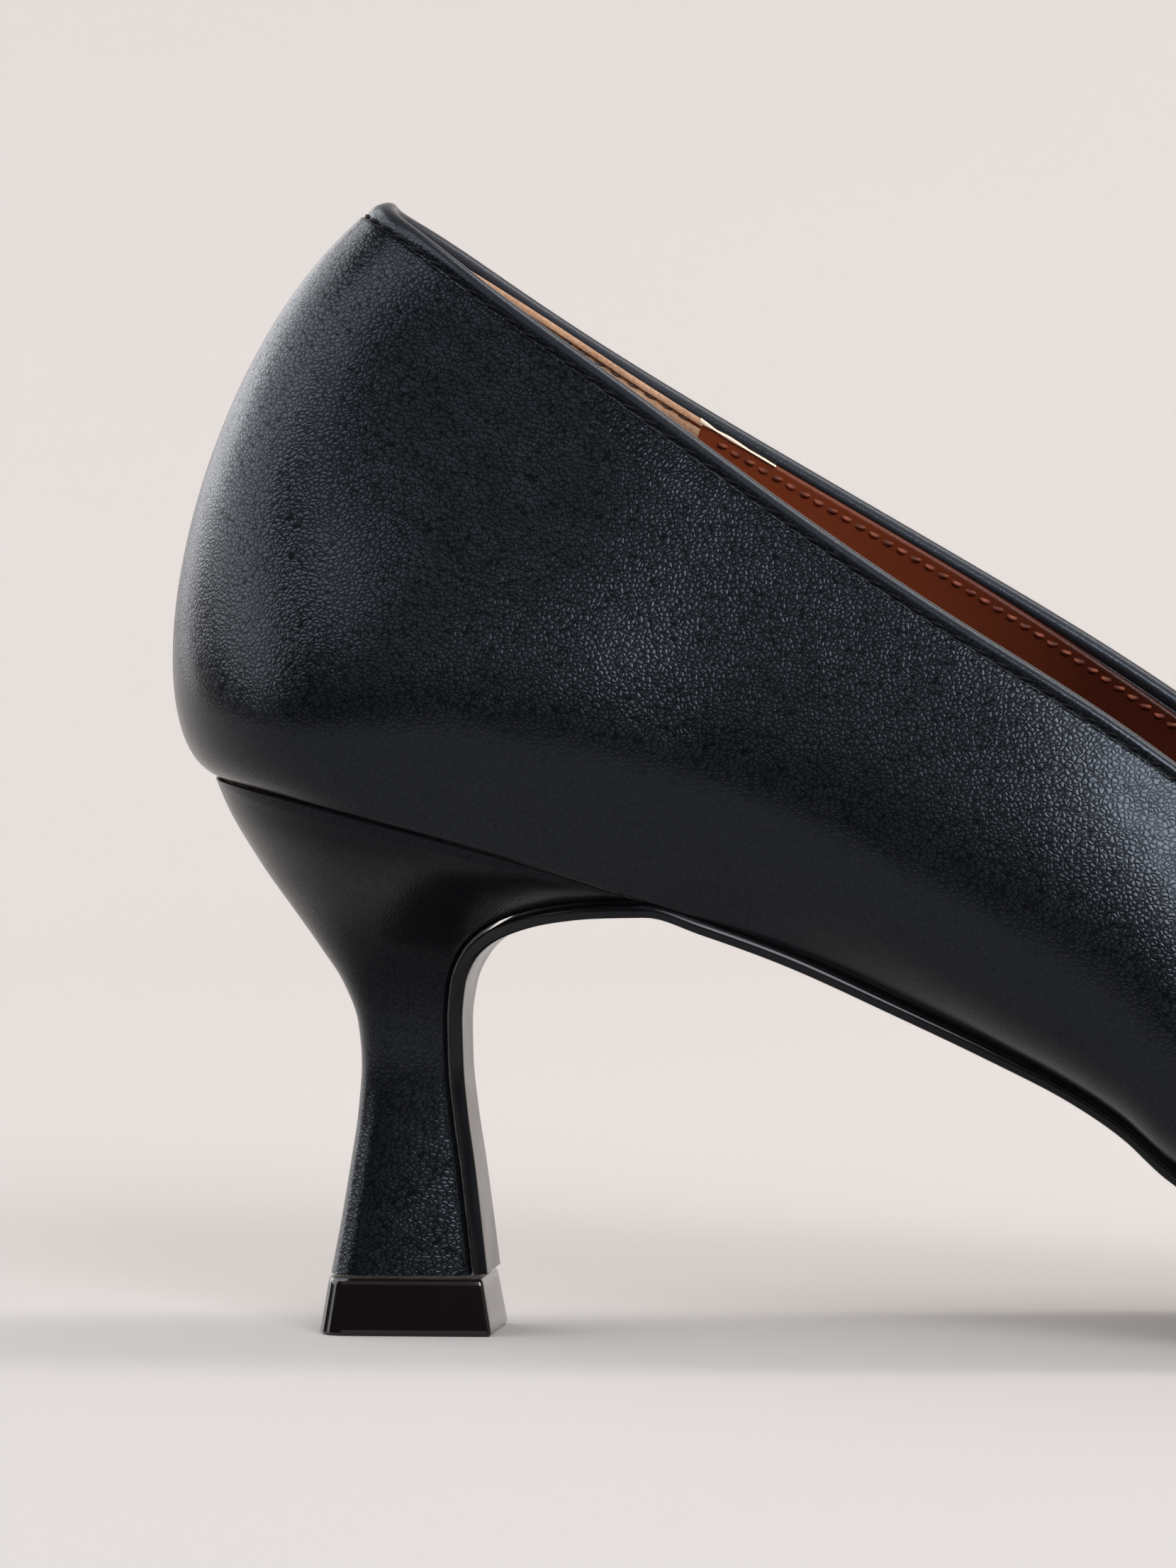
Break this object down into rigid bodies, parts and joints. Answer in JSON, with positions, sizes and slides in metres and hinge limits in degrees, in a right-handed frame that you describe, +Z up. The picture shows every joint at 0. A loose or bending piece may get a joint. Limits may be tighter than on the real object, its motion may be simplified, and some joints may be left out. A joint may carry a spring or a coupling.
{
  "type": "bow court shoe",
  "caption": "Women's pointed court shoe with a hollow leather upper, a flat leather bow at the throat, a thin arched sole and a waisted kitten heel on a flared tip.",
  "frame": {"origin": "on the floor under the middle of the shoe's box", "axes": "+X from heel to toe, +Y to the inner side of this right shoe, +Z up"},
  "size_m": [0.2442, 0.0762, 0.1108],
  "materials": {
    "black_leather": "fine pebbled grain, satin",
    "sock_leather": "smooth, semi-gloss",
    "sole": "smooth, semi-gloss",
    "tip_plastic": "polished"
  },
  "bodies": {
    "root": {"upper": "black_leather", "insole": "sock_leather", "outsole": "sole", "heel": "black_leather", "heel_tip": "tip_plastic", "bow_loops": "black_leather", "bow_knot": "black_leather"}
  },
  "joints": []
}
